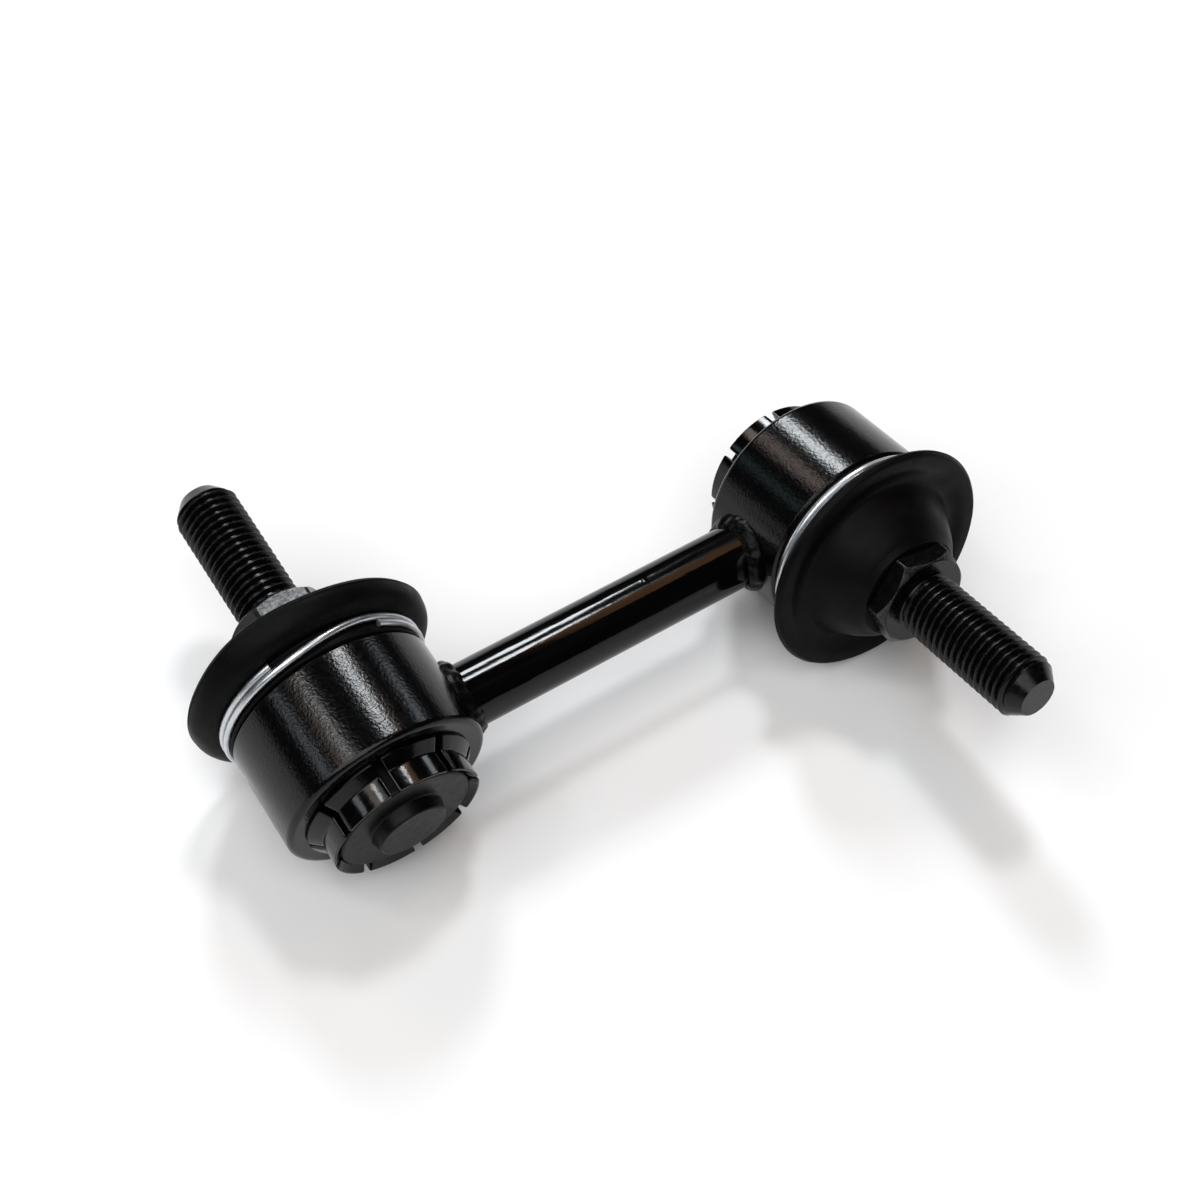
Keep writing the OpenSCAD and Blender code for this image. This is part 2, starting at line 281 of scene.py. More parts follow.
def end_frame(end):
    """Matrix from one ball joint's own millimetres to the frame of the part."""
    axes = [Vector(JOINTS[f"{name}_{end}"]["axis"]) for name in ("swing", "tilt", "spin")]
    matrix = Matrix(axes).transposed().to_4x4() @ Matrix.Scale(MM, 4)
    matrix.translation = Vector(JOINTS[f"spin_{end}"]["pos_m"])
    return matrix


def turned(outline, sides=SEGMENTS):
    """Rings of an outline of (radius, height) turned about the stud's axis."""
    turn = [2 * math.pi * j / sides for j in range(sides)]
    return [[(r * math.cos(a), r * math.sin(a), z) for a in turn] for r, z in outline]


def solid(name, matrix, shells, sharp=32):
    """Object made of shells of (rings, whether the last ring joins the first, whether rings close).

    Coincident points are joined and open ends are closed. A fourth number of a point is how light it is
    painted there, for rubbed steel and for painted highlight.
    """
    bm = bmesh.new()
    wear_and_glint = bm.verts.layers.float.new("wear_and_glint")
    for rings, loop, around in shells:
        grid = []
        for ring in rings:
            row = []
            for point in ring:
                vert = bm.verts.new(matrix @ Vector(point[:3]))
                vert[wear_and_glint] = point[3] if len(point) > 3 else 0.0
                row.append(vert)
            grid.append(row)
        count = len(grid[0])
        for i in range(len(grid) if loop else len(grid) - 1):
            low = grid[i]
            high = grid[(i + 1) % len(grid)]
            for j in range(count if around else count - 1):
                k = (j + 1) % count
                bm.faces.new((low[j], low[k], high[k], high[j]))
    bmesh.ops.remove_doubles(bm, verts=bm.verts, dist=JOIN)
    bmesh.ops.dissolve_degenerate(bm, edges=bm.edges, dist=JOIN)
    edges = [edge for edge in bm.edges if edge.is_boundary]
    bmesh.ops.holes_fill(bm, edges=edges, sides=0)
    bmesh.ops.recalc_face_normals(bm, faces=bm.faces)
    mesh = bpy.data.meshes.new(name)
    bm.to_mesh(mesh)
    bm.free()
    mesh.shade_smooth()
    mesh.set_sharp_from_angle(angle=math.radians(sharp))
    made = bpy.data.objects.new(name, mesh)
    bpy.context.scene.collection.objects.link(made)
    return made


def dress(made, node, material):
    """Gives a piece its material and hides the node that it stands for."""
    made.data.materials.append(material)
    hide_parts(node)


# Materials


def new_material(name, colour, roughness, metallic=0.0, specular=0.5):
    material = bpy.data.materials.new(name)
    material.use_nodes = True
    shader = material.node_tree.nodes["Principled BSDF"]
    shader.inputs["Base Color"].default_value = (*colour, 1)
    shader.inputs["Roughness"].default_value = roughness
    shader.inputs["Metallic"].default_value = metallic
    shader.inputs["Specular IOR Level"].default_value = specular
    return material


def shader_of(material):
    return material.node_tree.nodes["Principled BSDF"]


def grain(material, size, detail=3.0, stretch=(1, 1, 1)):
    """Noise of a given grain size in millimetres, which can be stretched along an axis."""
    tree = material.node_tree
    place = tree.nodes.new("ShaderNodeTexCoord")
    scale = tree.nodes.new("ShaderNodeMapping")
    scale.inputs["Scale"].default_value = [1 / (size * MM * s) for s in stretch]
    texture = tree.nodes.new("ShaderNodeTexNoise")
    texture.inputs["Scale"].default_value = 1.0
    texture.inputs["Detail"].default_value = detail
    tree.links.new(place.outputs["Object"], scale.inputs["Vector"])
    tree.links.new(scale.outputs["Vector"], texture.inputs["Vector"])
    return texture.outputs["Fac"]


def spread(material, source, low, high, lo_in=0.35, hi_in=0.65):
    """Maps a noise to the range from low to high."""
    remap = material.node_tree.nodes.new("ShaderNodeMapRange")
    remap.inputs["From Min"].default_value = lo_in
    remap.inputs["From Max"].default_value = hi_in
    remap.inputs["To Min"].default_value = low
    remap.inputs["To Max"].default_value = high
    material.node_tree.links.new(source, remap.inputs["Value"])
    return remap.outputs["Result"]


def link(material, source, socket):
    material.node_tree.links.new(source, shader_of(material).inputs[socket])


def tint(material, factor, dark, light):
    """Colour that goes from dark to light with a factor."""
    tree = material.node_tree
    mix = tree.nodes.new("ShaderNodeMix")
    mix.data_type = "RGBA"
    mix.inputs["A"].default_value = (*dark, 1)
    mix.inputs["B"].default_value = (*light, 1)
    tree.links.new(factor, mix.inputs["Factor"])
    link(material, mix.outputs["Result"], "Base Color")


def bumps(material, layers):
    """Chain of bumps, each of (height, depth in millimetres)."""
    tree = material.node_tree
    normal = None
    for height, depth in layers:
        bump = tree.nodes.new("ShaderNodeBump")
        bump.inputs["Strength"].default_value = 1.0
        bump.inputs["Distance"].default_value = depth * MM
        tree.links.new(height, bump.inputs["Height"])
        if normal:
            tree.links.new(normal, bump.inputs["Normal"])
        normal = bump.outputs["Normal"]
    link(material, normal, "Normal")


def housing_paint():
    """Black paint with the fine orange peel of a sprayed forging."""
    paint = new_material("housing_paint", (0.0012, 0.0012, 0.0014), 0.2, specular=0.25)
    cloud = spread(paint, grain(paint, 2.5), 0, 1)
    tint(paint, cloud, (0.0009, 0.0009, 0.0011), (0.0016, 0.0016, 0.0018))
    link(paint, spread(paint, grain(paint, 0.6), 0.14, 0.2), "Roughness")
    bumps(paint, [(grain(paint, 0.42, 2), 0.034)])
    return paint


def rod_paint():
    """Smoother black paint, drawn out along the rod."""
    paint = new_material("rod_paint", (0.0011, 0.0011, 0.0012), 0.1, specular=0.25)
    along = (9, 1, 1)
    cloud = spread(paint, grain(paint, 2, 3, along), 0, 1)
    tint(paint, cloud, (0.0008, 0.0008, 0.0009), (0.0014, 0.0014, 0.0016))
    link(paint, spread(paint, grain(paint, 1.2, 3, along), 0.07, 0.13), "Roughness")
    bumps(paint, [(grain(paint, 0.5, 2, (7, 1, 1)), 0.012), (grain(paint, 0.35, 2), 0.004)])
    return paint


def weld_paint():
    """Paint over the rough skin of a weld."""
    paint = new_material("weld_paint", (0.0012, 0.0012, 0.0013), 0.32, specular=0.1)
    cloud = spread(paint, grain(paint, 1), 0, 1)
    tint(paint, cloud, (0.0009, 0.0009, 0.001), (0.0018, 0.0017, 0.0016))
    link(paint, spread(paint, grain(paint, 0.7), 0.24, 0.38), "Roughness")
    bumps(paint, [(grain(paint, 0.5, 2), 0.03)])
    return paint


def rubber():
    """Moulded rubber with a faint dusty bloom."""
    rubber = new_material("boot_rubber", (0.002, 0.002, 0.002), 0.42, specular=0.07)
    cloud = spread(rubber, grain(rubber, 5, 5), 0, 1)
    tint(rubber, cloud, (0.0014, 0.0014, 0.0015), (0.0026, 0.0026, 0.0025))
    link(rubber, spread(rubber, grain(rubber, 3, 4), 0.4, 0.52), "Roughness")
    bumps(rubber, [(grain(rubber, 1.6, 3), 0.02), (grain(rubber, 0.18, 2), 0.006)])
    return rubber


def finger_plastic():
    """Glossy moulded plastic of the bearing and its fingers."""
    plastic = new_material("bearing_plastic", (0.0012, 0.0012, 0.0013), 0.1, specular=0.27)
    cloud = spread(plastic, grain(plastic, 3), 0, 1)
    tint(plastic, cloud, (0.0009, 0.0009, 0.001), (0.0015, 0.0015, 0.0016))
    link(plastic, spread(plastic, grain(plastic, 1.5), 0.08, 0.13), "Roughness")
    bumps(plastic, [(grain(plastic, 0.9, 2), 0.012), (grain(plastic, 0.2, 2), 0.003)])
    return plastic


def plug_plastic():
    """Satin moulded plastic of the end plug."""
    plastic = new_material("plug_plastic", (0.0016, 0.0016, 0.0017), 0.34, specular=0.13)
    cloud = spread(plastic, grain(plastic, 4), 0, 1)
    tint(plastic, cloud, (0.0012, 0.0012, 0.0013), (0.002, 0.002, 0.002))
    link(plastic, spread(plastic, grain(plastic, 1.2), 0.32, 0.4), "Roughness")
    bumps(plastic, [(grain(plastic, 0.25, 2), 0.008)])
    return plastic


def stud_steel():
    """Black phosphate steel, painted lighter where the mark is high: rubbed steel on crests and edges,
    together with a painted highlight there.
    """
    steel = new_material("stud_steel", (0.0016, 0.0016, 0.0018), 0.24, specular=0.24)
    tree = steel.node_tree
    wear_glint_attribute = tree.nodes.new("ShaderNodeAttribute")
    wear_glint_attribute.attribute_name = "wear_and_glint"
    rub_and_glint = tree.nodes.new("ShaderNodeMath")
    rub_and_glint.operation = "MULTIPLY"
    tree.links.new(wear_glint_attribute.outputs["Fac"], rub_and_glint.inputs[0])
    tree.links.new(spread(steel, grain(steel, 0.5), 0.2, 1), rub_and_glint.inputs[1])
    # Painted highlight together with rubbed steel: marked crests and hex edges turn light grey.
    tint(steel, rub_and_glint.outputs["Value"], (0.0014, 0.0014, 0.0017), (0.05, 0.05, 0.051))
    link(steel, spread(steel, grain(steel, 0.8), 0.18, 0.3), "Roughness")
    bumps(steel, [(grain(steel, 0.4, 3), 0.015)])
    return steel


def wire_zinc():
    """Bright drawn wire with a zinc plate."""
    wire = new_material("wire_zinc", (0.7, 0.71, 0.72), 0.34, metallic=1.0)
    tint(wire, spread(wire, grain(wire, 2), 0, 1), (0.54, 0.56, 0.59), (0.64, 0.66, 0.68))
    link(wire, spread(wire, grain(wire, 1.5), 0.31, 0.38), "Roughness")
    bumps(wire, [(grain(wire, 0.6, 1), 0.001)])
    return wire


def ring_steel():
    """Plain steel of the ring inside the boot's lip."""
    steel = new_material("neck_ring_steel", (0.45, 0.45, 0.46), 0.35, metallic=1.0)
    tint(steel, spread(steel, grain(steel, 1), 0, 1), (0.38, 0.38, 0.39), (0.5, 0.5, 0.51))
    bumps(steel, [(grain(steel, 0.3, 2), 0.01)])
    return steel


# Pieces


def wall_x(y):
    """How far the round of the housing reaches towards the rod at a height y across it."""
    return math.sqrt(HOUSING_R**2 - y**2)


def rod(material):
    """Round bar, cut at both ends to the round of the housings."""
    middle = (BALL_A + BALL_B) / 2
    across_a = Vector(JOINTS["tilt_a"]["axis"])
    across_b = Vector(JOINTS["tilt_b"]["axis"])
    rings = []
    for i in range(ROD_RINGS + 1):
        t = i / ROD_RINGS
        ring = []
        for j in range(ROD_SIDES):
            a = 2 * math.pi * j / ROD_SIDES
            spoke = Vector((0, math.cos(a), math.sin(a)))
            start = BALL_A.x + wall_x(spoke.dot(across_a) * ROD_R)
            end = BALL_B.x - wall_x(spoke.dot(across_b) * ROD_R)
            x = start + (end - start) * t
            round_off = (a - math.radians(PIMPLE_TURN)) * ROD_R
            pimple = PIMPLE_H * math.exp(-((x - PIMPLE_X) ** 2 + round_off**2) / PIMPLE_R**2)
            ring.append(Vector((x, 0, middle.z)) + spoke * (ROD_R + pimple))
        rings.append(ring)
    made = solid("rod_bar", Matrix.Scale(MM, 4), [(rings, False, True)])
    dress(made, "rod", material)
    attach(made, "link_body")


def housing(end, material):
    outline = rounded([
        (BORE_R, -HOUSING_BELOW + CHAMFER, 0.1),
        (BORE_R + CHAMFER, -HOUSING_BELOW, 0.1),
        (HOUSING_R, -HOUSING_BELOW, FACE_EDGE),
        (HOUSING_R, HOUSING_ABOVE - CHAMFER, 0.2),
        (HOUSING_R - CHAMFER, HOUSING_ABOVE, 0.2),
        (NECK_R, HOUSING_ABOVE, 0.2),
        (NECK_R, NECK_TOP - 1.2, 0.1),
        (NECK_LIP_R, NECK_TOP - 0.7, 0.1),
        (NECK_LIP_R, NECK_TOP, 0.3),
        (BORE_R, NECK_TOP, 0.2),
    ], steps=8)
    made = solid(f"housing_shell_{end}", end_frame(end), [(turned(outline), True, True)])
    dress(made, f"housing_{end}", material)
    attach(made, "link_body")


def weld(end, material):
    """Lumpy fillet around the rod, laid in overlapping ripples."""
    rings = []
    for i in range(WELD_SIDES):
        a = 2 * math.pi * i / WELD_SIDES
        ring = [weld_point(end, a, 0, 0)]
        ring += [weld_point(end, a, 1, k / WELD_STEPS) for k in range(WELD_STEPS + 1)]
        rings.append(ring)
    made = solid(f"weld_fillet_{end}", end_frame(end), [(rings, True, True)], sharp=60)
    dress(made, f"weld_bead_{end}", material)
    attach(made, "link_body")


def weld_point(end, a, share, t):
    """Point of the bead at an angle around the rod, t of the way from the housing to the rod."""
    seed = WELD_SEED[end]
    lay = WELD_RIPPLES * a + 2.2 * t + 4 * noise.noise((2 * math.cos(a), 2 * math.sin(a), seed))
    lump = noise.noise((3 * math.cos(a), 3 * math.sin(a), seed + 2 * t))
    swell = share * (0.9 + 0.035 * math.sin(lay) + 0.22 * lump)
    crown = t * math.pi / 2
    radius = ROD_R + WELD_HOUSING_LEG * swell * math.cos(crown)
    y = radius * math.sin(a)
    return (wall_x(y) + WELD_ROD_LEG * swell * math.sin(crown), y, radius * math.cos(a))


def hex_radius(angle):
    """Radius of the hex collar with rounded corners, at an angle in degrees from a corner."""
    off = abs((angle + 30) % 60 - 30)
    flat = HEX_INNER_R / math.cos(math.radians(30 - off))
    side = math.sin(math.radians(off))
    if flat * side >= HEX_CORNER / 2:
        return flat
    centre = (HEX_INNER_R - HEX_CORNER) / math.cos(math.radians(30))
    return centre * math.cos(math.radians(off)) + math.sqrt(HEX_CORNER**2 - (centre * side) ** 2)


def stud_angles():
    """Angles around the stud, closer together at the corners of the hex."""
    near = [0, 0.5, 1.0, 1.6, 3, 6, 10, 14, 19, 24.5]
    half = near + [30]
    side = half + [60 - x for x in reversed(near[1:])]
    return [60 * i + x for i in range(6) for x in side]


def collar_profile(angle):
    """Ball, waist, journal and hex collar, as far as the start of the thread."""
    corner = hex_radius(angle)
    drop = (corner - HEX_FACE_R) * math.tan(HEX_CHAMFER)
    sweep = [BALL_SWEEP * i / BALL_STEPS for i in range(BALL_STEPS + 1)]
    ball = [(BALL_R * math.sin(b), -BALL_R * math.cos(b)) for b in sweep]
    shaft = rounded([
        (ball[-1][0], ball[-1][1], 0),
        (WAIST_R, NECK_TOP, 0.4),
        (JOURNAL_R, JOURNAL_FROM, 0.4),
        (JOURNAL_R, HEX_FROM, 0),
        (corner, HEX_FROM, 0.15),
        (corner, HEX_TO - drop, 0.06),
        (HEX_FACE_R, HEX_TO, 0.06),
        (RUNOUT_R, HEX_TO, 0.4),
        (RUNOUT_R, THREAD_FROM, 0),
    ], closed=False, steps=4)
    return ball + shaft[1:]


def thread_radius(phase, z):
    """Radius of the thread at a share of its pitch from the crest, and how light it is painted there:
    rubbed steel and painted highlight on the crest.
    """
    off = abs((phase + 0.5) % 1 - 0.5)
    if off < CREST_HALF:
        full = THREAD_R - CREST_DROP * max(0, off - CREST_FLAT) / (CREST_HALF - CREST_FLAT)
    else:
        share = min(1, (off - CREST_HALF) / FLANK_SHARE)
        full = THREAD_R - CREST_DROP - (THREAD_DEPTH - CREST_DROP) * share
    fade = min(1, (z - THREAD_FROM) / THREAD_FADE)
    radius = RUNOUT_R + (full - RUNOUT_R) * fade
    cone = TIP_FLAT_R + (THREAD_R - TIP_FLAT_R) * (TIP_AT - z) / TIP_LENGTH
    # Painted highlight: crests are marked lighter, as rubbed steel that also glints.
    wear_and_glint = 1.0 if off < CREST_WEAR_AND_GLINT and fade == 1 and radius < cone else 0.0
    return min(radius, cone), wear_and_glint


def ball_stud(end, material):
    """Ball stud with a chamfered hex collar and a right-handed thread."""
    angles = stud_angles() + [360]
    turn = math.radians(HEX_TURN[end])
    columns = [collar_profile(angle) for angle in angles]
    rings = []
    for i in range(len(columns[0])):
        ring = []
        for angle, column in zip(angles, columns):
            r, z = column[i]
            a = math.radians(angle) + turn
            edge = HEX_TO - (hex_radius(angle) - HEX_FACE_R) * math.tan(HEX_CHAMFER)
            # Painted highlight: the hex collar's front edge is marked lighter, partly as rubbed steel.
            wear_and_glint = HEX_EDGE_WEAR_AND_GLINT if r > HEX_FACE_R and abs(z - edge) < HEX_EDGE_MARK_SPAN else 0.0
            ring.append((r * math.cos(a), r * math.sin(a), z, wear_and_glint))
        rings.append(ring)
    phases = (-0.075, -0.04, 0, 0.04, 0.075, 0.18, 0.28, 0.375, 0.46, 0.54, 0.625, 0.72, 0.82)
    turns = math.ceil((TIP_AT - THREAD_FROM) / THREAD_PITCH) + 1
    for k in range(-1, turns):
        for phase in phases:
            ring = []
            for angle in angles:
                z = THREAD_FROM + THREAD_PITCH * (k + phase + angle / 360)
                z = min(max(z, THREAD_FROM), TIP_AT)
                r, wear_and_glint = thread_radius((z - THREAD_FROM) / THREAD_PITCH - angle / 360, z)
                a = math.radians(angle) + turn
                ring.append((r * math.cos(a), r * math.sin(a), z, wear_and_glint))
            rings.append(ring)
    inner = TIP_FLAT_R - TIP_RIM
    spokes = [math.radians(x) + turn for x in angles]
    rings.append([(inner * math.cos(a), inner * math.sin(a), TIP_AT, TIP_WEAR) for a in spokes])
    rings.append([(0, 0, TIP_AT, TIP_WEAR)] * len(angles))
    made = solid(f"threaded_stud_{end}", end_frame(end), [(rings, False, False)], sharp=28)
    dress(made, f"ball_stud_{end}", material)
    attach(made, f"stud_{end}")


def finger_rings(start):
    """Rings of one snap finger between two straight slots."""
    outline = rounded([
        (FINGER_IN_R, FINGER_ROOT, 0),
        (FINGER_IN_R, FINGER_TIP + FINGERTIP_BEVEL, 0.2),
        (FINGER_BAND_R - FINGERTIP_FLAT, FINGER_TIP, 0.08),
        (FINGER_BAND_R, FINGER_TIP, 0.1),
        (FINGER_BAND_R, FINGER_BAND_TOP, 0.3),
        (HOOK_R, HOOK_LOW, 0.15),
        (HOOK_R, HOOK_TOP, 0.12),
        (BEARING_R, HOOK_TOP, 0.1),
        (BEARING_R, FINGER_ROOT, 0),
    ], steps=4)
    centre = ((FINGER_IN_R + BEARING_R) / 2, (FINGER_ROOT + FINGER_TIP) / 2)
    edge = FINGER_SOFT
    stations = [(0, 1), (edge * 0.3, 0.35), (edge, 0)]
    stations += [(None, i / FINGER_STEPS) for i in range(1, FINGER_STEPS)]
    stations += [(-edge, 0), (-edge * 0.3, 0.35), (0, -1)]
    rings = []
    for inset, share in stations:
        ring = []
        for r, z in outline:
            first = math.asin(SLOT_W / 2 / r)
            last = 2 * math.pi / FINGERS - first
            if inset is None:
                a = first + edge / r + (last - first - 2 * edge / r) * share
            elif share < 0 or inset < 0:
                a = last + inset / r
            else:
                a = first + inset / r
            pull = edge * abs(share) if inset is not None else 0
            r2 = r + pull * (centre[0] - r) / max(1, abs(centre[0] - r))
            z2 = z + pull * (centre[1] - z) / max(1, abs(centre[1] - z))
            ring.append((r2 * math.cos(start + a), r2 * math.sin(start + a), z2))
        rings.append(ring)
    return rings


def bearing(end, material):
    """Moulded ball seat with its ring of hooked fingers."""
    seat_low = -math.degrees(math.acos(POCKET_R / SEAT_R))
    seat = arc((0, 0), SEAT_R, 90 - math.degrees(SEAT_EDGE), seat_low, 20)
    outline = rounded([
        (POCKET_R, CUP_FLOOR, 0),
        (CUP_R, CUP_FLOOR, 0.2),
        (CUP_R, CUP_TOP, 0.2),
        (BEARING_R, CUP_TOP, 0.1),
        (BEARING_R, FLANGE_LOW, 0.1),
        (FLANGE_R, FLANGE_LOW, 0.2),
        (FLANGE_R, FLANGE_TOP, 0.2),
        (MOUTH_R, FLANGE_TOP, 0.2),
        (seat[0][0], seat[0][1], 0),
    ], closed=False, steps=4) + seat[1:]
    shells = [(turned(outline), True, True)]
    for i in range(FINGERS):
        start = math.radians(FINGER_TURN[end] + 360 * i / FINGERS)
        shells.append((finger_rings(start), False, True))
    made = solid(f"snap_bearing_{end}", end_frame(end), shells)
    dress(made, f"bearing_{end}", material)
    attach(made, "link_body")


def end_plug(end, material):
    """Disc with a raised centre and a skirt behind it."""
    boss_face = PLUG_FACE - BOSS_H
    outline = rounded([
        (0, boss_face, 0),
        (BOSS_R, boss_face, 0.35),
        (BOSS_R + BOSS_DRAFT, PLUG_FACE, 0.3),
        (PLUG_R, PLUG_FACE, 0.45),
        (PLUG_R, PLUG_EDGE, 0.1),
        (SKIRT_R, PLUG_EDGE, 0.1),
        (SKIRT_R, SKIRT_TOP, 0.1),
        (SKIRT_R - SKIRT_WALL, SKIRT_TOP, 0.1),
        (SKIRT_R - SKIRT_WALL, PLUG_BACK, 0.15),
        (0, PLUG_BACK, 0),
    ], closed=False, steps=6)
    made = solid(f"plug_disc_{end}", end_frame(end), [(turned(outline), False, True)])
    dress(made, f"end_plug_{end}", material)
    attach(made, "link_body")


def boot_rings(end, outline):
    """Turned rings of the boot, with the uneven swell of soft rubber."""
    rings = []
    for ring in turned(outline, BOOT_SIDES):
        row = []
        for x, y, z in ring:
            soft = max(0, min(1, (z - GROOVE_TOP) / BOOT_SOFT_SPAN))
            lump = noise.noise((BOOT_LUMP_SCALE * x, BOOT_LUMP_SCALE * y, BOOT_SEED[end]))
            turn = (math.degrees(math.atan2(y, x)) - RIM_WAVE_AT + 180) % 360 - 180
            edge = max(0, min(1, (math.hypot(x, y) - VALLEY_R) / (BOOT_R - 1 - VALLEY_R)))
            wave = RIM_WAVE[end] * edge * math.exp(-(turn / RIM_WAVE_SPAN) ** 2)
            row.append((x, y, z + soft * (BOOT_LUMP * lump + wave)))
        rings.append(row)
    return rings


def boot(end, material):
    """Rubber boot: the skirt up to the middle of the dome, the dome with its lip, and the hub inside."""
    shift = RIM_SHIFT[end]
    rim_top = RIM_TOP + shift
    rim_z = rim_top - RIM_EDGE
    rim_r = BOOT_R - PARTING_OUT
    valley = (VALLEY_R, VALLEY_Z + 0.4 * shift)
    dome_foot = (VALLEY_R - DOME_FOOT, valley[1])
    dome = bezier(valley, dome_foot, (DOME_WALL_R, DOME_WALL_Z), (DOME_R, DOME_TOP), 44)
    half = round(len(dome) * DOME_SPLIT)
    split = dome[half]
    inner_split = (split[0] - 0.8 * SPLIT_WALL, split[1] - 0.6 * SPLIT_WALL)
    sleeve = rounded([
        (NECK_R + BOOT_PLAY, BEAD_LOW, 0),
        (HOUSING_R - BEAD_CROWN, BEAD_LOW, 0.15),
        (HOUSING_R, (BEAD_LOW + BEAD_TOP) / 2, 0.2),
        (HOUSING_R - BEAD_CROWN, BEAD_TOP, 0.15),
        (GROOVE_R, BEAD_TOP, 0.1),
        (GROOVE_R, GROOVE_TOP, 0.2),
        (GROOVE_R + SKIRT_FOOT, GROOVE_TOP, 0),
    ], closed=False, steps=4)
    skirt_from = (GROOVE_R + SKIRT_FOOT, GROOVE_TOP)
    skirt_to = (rim_r, rim_z - 0.12)
    skirt = bezier(skirt_from, (BOOT_R - 1.6, GROOVE_TOP), (rim_r, GROOVE_TOP + 0.9), skirt_to, 24)
    parting = [skirt_to, (BOOT_R, rim_z - 0.04), (BOOT_R, rim_z + 0.02), (rim_r, rim_z + 0.1)]
    rim = arc((rim_r - RIM_EDGE, rim_z + 0.1), RIM_EDGE - 0.1, 0, 90, 10)[1:]
    dish_from = (rim_r - 2 * RIM_EDGE, rim_top)
    dish = bezier(dish_from, (BOOT_R - 3.2, rim_top), (VALLEY_R + 1.5, valley[1]), valley, 20)
    under = [
        inner_split,
        (VALLEY_R - 1, valley[1] - BOOT_WALL),
        (VALLEY_R, valley[1] - BOOT_WALL),
        (BOOT_R - 3.1, (rim_top + GROOVE_TOP) / 2),
        (NECK_LIP_R + 0.95, NECK_TOP + 1.2),
        (NECK_LIP_R + BOOT_PLAY, NECK_TOP),
        (NECK_LIP_R + BOOT_PLAY, NECK_TOP - 0.85),
        (NECK_R + BOOT_PLAY, NECK_TOP - 1.35),
    ]
    skirt_outline = sleeve[:-1] + skirt + parting + rim + dish + dome[:half + 1] + under
    matrix = end_frame(end)
    lower = solid(f"boot_skirt_{end}", matrix, [(boot_rings(end, skirt_outline), True, True)], sharp=50)
    lip = rounded([
        (DOME_R, DOME_TOP, 0),
        (LIP_R, LIP_TOP, 0.3),
        (HUB_R + HUB_PLAY, LIP_TOP, 0.1),
        (HUB_R + HUB_PLAY, WALL_TOP, 0.2),
        (HUB_R + 1, WALL_TOP, 0),
    ], closed=False, steps=5)
    above_split = (inner_split[0] - 0.5, inner_split[1] + 1.3)
    lining = bezier(lip[-1], (HUB_R + 2, WALL_TOP), above_split, inner_split, 12)
    dome_outline = dome[half:] + lip[:-1] + lining + [inner_split]
    upper = solid(f"boot_dome_{end}", matrix, [(boot_rings(end, dome_outline), True, True)], sharp=50)
    for made, below, above, low, high in (
        (lower, "link_body", f"boot_{end}", VALLEY_Z + 0.3, split[1]),
        (upper, f"boot_{end}", f"neck_{end}", split[1], RING_GROOVE_TOP),
    ):
        dress(made, f"dust_boot_{end}", material)
        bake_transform(made)
    boot_hub(end, material)


def boot_hub(end, material):
    """Thick inside of the boot's lip, which turns on the stud and holds the neck ring in its groove."""
    outline = rounded([
        (SEAL_R, LIP_TOP - HUB_PLAY, 0.15),
        (HUB_R, LIP_TOP - HUB_PLAY, 0.15),
        (HUB_R, RING_GROOVE_TOP, 0.2),
        (HUB_LOW_R, HUB_LOW, 0.1),
        (SEAL_R, HUB_LOW, 0.1),
        (SEAL_R, RING_GROOVE_LOW, 0.05),
        (RING_GROOVE_R, RING_GROOVE_LOW, 0.1),
        (RING_GROOVE_R, RING_GROOVE_TOP, 0.1),
        (SEAL_R, RING_GROOVE_TOP, 0.05),
    ], steps=4)
    made = solid(f"boot_hub_{end}", end_frame(end), [(turned(outline), True, True)])
    dress(made, f"dust_boot_{end}", material)
    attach(made, f"neck_{end}")


def clip_ring(end, material):
    """Spring wire of nearly two turns, which climbs from a lower turn to an upper one."""
    lower_turn = 360 - WIRE_CLIMB
    full_turn = 2 * lower_turn + WIRE_CLIMB
    rings = []
    steps = full_turn // WIRE_STEP
    stations = [(0, WIRE_END_SHARE), (WIRE_END, 1)]
    stations += [(i * full_turn / steps, 1) for i in range(1, steps)]
    stations += [(full_turn - WIRE_END, 1), (full_turn, WIRE_END_SHARE)]
    for along, share in stations:
        rise = min(1, max(0, (along - lower_turn) / WIRE_CLIMB))
        height = WIRE_LOW + (WIRE_HIGH - WIRE_LOW) * (1 - math.cos(math.pi * rise)) / 2
        a = math.radians(along + WIRE_TURN[end])
        ring = []
        for k in range(WIRE_SIDES):
            b = 2 * math.pi * k / WIRE_SIDES
            r = WIRE_PATH_R + share * WIRE_R * math.cos(b)
            ring.append((r * math.cos(a), r * math.sin(a), height + share * WIRE_R * math.sin(b)))
        rings.append(ring)
    made = solid(f"wire_clip_{end}", end_frame(end), [(rings, False, True)], sharp=50)
    dress(made, f"clip_ring_{end}", material)
    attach(made, "link_body")


# Stage, light and camera

LIGHT_DISTANCE = 1.0
FLOOR_HALF = 12
FLOOR_COLOUR = (0.92, 0.92, 0.92)
FLOOR_NEAR = 0.35
FLOOR_FAR = 1.0
HORIZON_TO = 0.08
STUDIO_FROM = 0.11
HORIZON_COLOUR = (0.9, 0.9, 0.9, 1)
STUDIO_COLOUR = (0.012, 0.012, 0.013, 1)
MIDDLE = Vector((0, 0, 0.017))
CAMERA_AZIMUTH = -35.02
CAMERA_ELEVATION = 51.79
CAMERA_AIM = Vector((0.00235, 0.00411, 0.01708))
CAMERA_DISTANCE = 0.28903
CAMERA_ROLL = 1.4986
CAMERA_LENS = 57.86


def towards(azimuth, elevation):
    """Direction from the object, where azimuth 0 is in front of it and 90 to its right."""
    a = math.radians(azimuth)
    e = math.radians(elevation)
    return Vector((math.sin(a) * math.cos(e), -math.cos(a) * math.cos(e), math.sin(e)))


